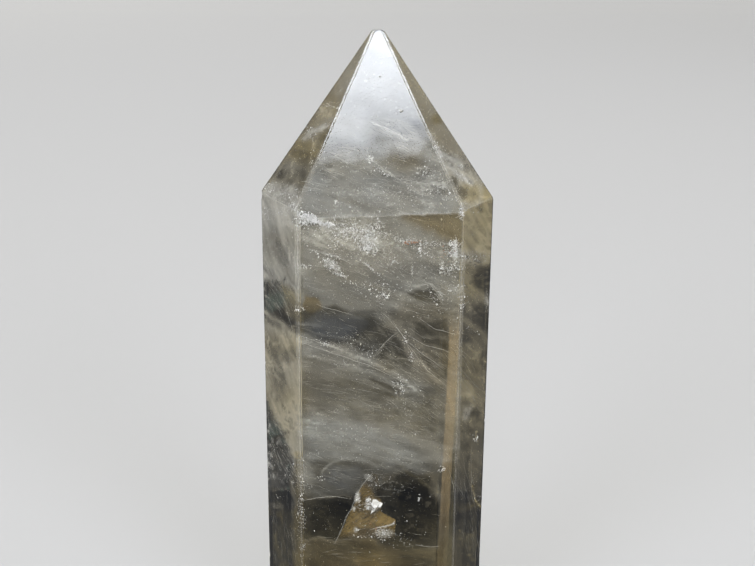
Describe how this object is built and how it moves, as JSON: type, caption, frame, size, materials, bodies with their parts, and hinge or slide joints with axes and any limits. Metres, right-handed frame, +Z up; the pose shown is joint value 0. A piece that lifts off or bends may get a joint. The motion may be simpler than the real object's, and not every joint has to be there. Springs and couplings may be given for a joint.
{
  "type": "lightning quartz point",
  "caption": "Polished six-sided tower of clear, veiled lightning quartz with a steep point and a flat sawn base, free-standing for display.",
  "frame": {"origin": "middle of the sawn base, at the bottom", "axes": "+Z up along the crystal's long axis to the tip, -Y out of the wide front face, +X to the viewer's right"},
  "size_m": [0.0358, 0.0216, 0.11],
  "materials": {
    "quartz": "clear to milky quartz with fine veils and fractures inside, polished faces"
  },
  "bodies": {
    "root": {"quartz_point": "quartz"}
  },
  "joints": []
}
